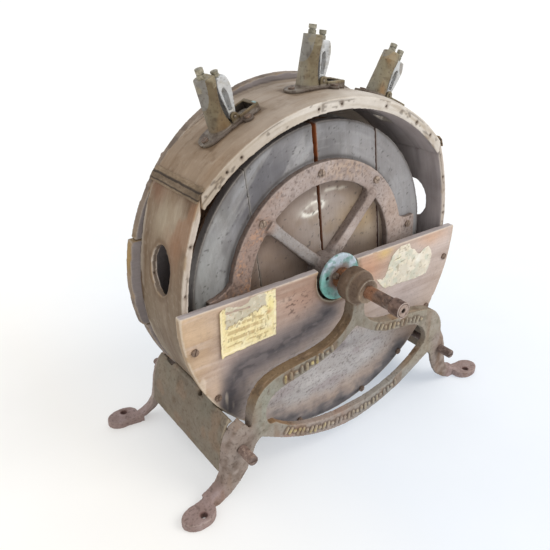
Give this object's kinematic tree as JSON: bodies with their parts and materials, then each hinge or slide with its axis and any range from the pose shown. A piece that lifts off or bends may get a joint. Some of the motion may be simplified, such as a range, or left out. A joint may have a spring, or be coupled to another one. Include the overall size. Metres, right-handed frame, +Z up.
{
  "type": "rotary knife cleaner",
  "caption": "Hand-cranked rotary knife cleaner: wooden drum with two padded discs, knife holders on its rim, cast iron stand.",
  "frame": {"origin": "on the bench directly under the shaft, half way through the drum's width", "axes": "+Z up, +X to the right seen from the crank end, +Y along the shaft away from the crank"},
  "size_m": [0.491, 0.274, 0.4815],
  "materials": {
    "stained_wood": "matte, stained and worn",
    "bare_wood": "matte, bleached and water-stained",
    "grey_wood": "matte, weathered grey",
    "rusted_iron": "pitted rust",
    "olive_iron": "old brown patina, rubbed edges",
    "rusty_steel": "rusted",
    "verdigris_brass": "verdigris",
    "pad_leather": "worn",
    "old_paper": "matte, torn",
    "dark_strip": "matte",
    "holder_bronze": "dull bronze with orange staining",
    "grey_iron": "dull grey"
  },
  "bodies": {
    "stand": {"front_board": "bare_wood", "front_board_screws": "rusty_steel", "front_frame": "olive_iron", "left_cap_post": "grey_iron", "left_corner_strip": "dark_strip", "left_holder_body": "holder_bronze", "left_holder_pin": "rusty_steel", "left_holder_screws": "rusty_steel", "left_label": "old_paper", "left_panel": "stained_wood", "left_saddle": "olive_iron", "left_saddle_screws": "rusty_steel", "left_tie_rod": "rusty_steel", "middle_cap_post": "grey_iron", "middle_holder_body": "holder_bronze", "middle_holder_pin": "rusty_steel", "middle_holder_screws": "rusty_steel", "rear_board_lower": "bare_wood", "rear_board_middle": "bare_wood", "rear_board_screws": "rusty_steel", "rear_board_upper": "bare_wood", "rear_frame": "olive_iron", "right_cap_post": "grey_iron", "right_corner_strip": "dark_strip", "right_holder_body": "holder_bronze", "right_holder_pin": "rusty_steel", "right_holder_screws": "rusty_steel", "right_label": "old_paper", "right_panel": "stained_wood", "right_saddle": "olive_iron", "right_saddle_screws": "rusty_steel", "right_tie_rod": "rusty_steel", "tie_rod_nuts": "rusty_steel", "top_arch": "stained_wood"},
    "rotor": {"brass_flange": "verdigris_brass", "collar_set_screws": "rusty_steel", "crank_seat_sleeve": "rusty_steel", "front_collar": "rusty_steel", "front_disc_board_1": "grey_wood", "front_disc_board_2": "grey_wood", "front_disc_board_3": "grey_wood", "front_disc_board_4": "grey_wood", "front_pad": "pad_leather", "front_spider": "rusted_iron", "front_spider_screws": "rusty_steel", "rear_collar": "rusty_steel", "rear_disc_board_1": "grey_wood", "rear_disc_board_2": "grey_wood", "rear_disc_board_3": "grey_wood", "rear_disc_board_4": "grey_wood", "rear_pad": "pad_leather", "rear_spider": "rusted_iron", "rear_spider_screws": "rusty_steel", "shaft": "rusty_steel"},
    "left_jaw": {"left_holder_jaw": "grey_iron", "left_jaw_post": "grey_iron"},
    "middle_jaw": {"middle_holder_jaw": "grey_iron", "middle_jaw_post": "grey_iron"},
    "right_jaw": {"right_holder_jaw": "grey_iron", "right_jaw_post": "grey_iron"}
  },
  "joints": [
    {"name": "rotor_spin", "type": "hinge", "parent": "stand", "child": "rotor", "pos_m": [0, 0, 0.2114], "axis": [0, 1, 0], "continuous": true},
    {"name": "left_jaw_swing", "type": "hinge", "parent": "stand", "child": "left_jaw", "pos_m": [-0.10677, 0, 0.40141], "axis": [0, 1, 0], "range_deg": [0, 12], "stiffness_Nm_per_rad": 0.3, "springref_deg": -2.86},
    {"name": "middle_jaw_swing", "type": "hinge", "parent": "stand", "child": "middle_jaw", "pos_m": [0.00813, 0, 0.42491], "axis": [0, 1, 0], "range_deg": [0, 12], "stiffness_Nm_per_rad": 0.3, "springref_deg": -2.86},
    {"name": "right_jaw_swing", "type": "hinge", "parent": "stand", "child": "right_jaw", "pos_m": [0.11307, 0, 0.39837], "axis": [0, 1, 0], "range_deg": [0, 12], "stiffness_Nm_per_rad": 0.3, "springref_deg": -2.86}
  ]
}
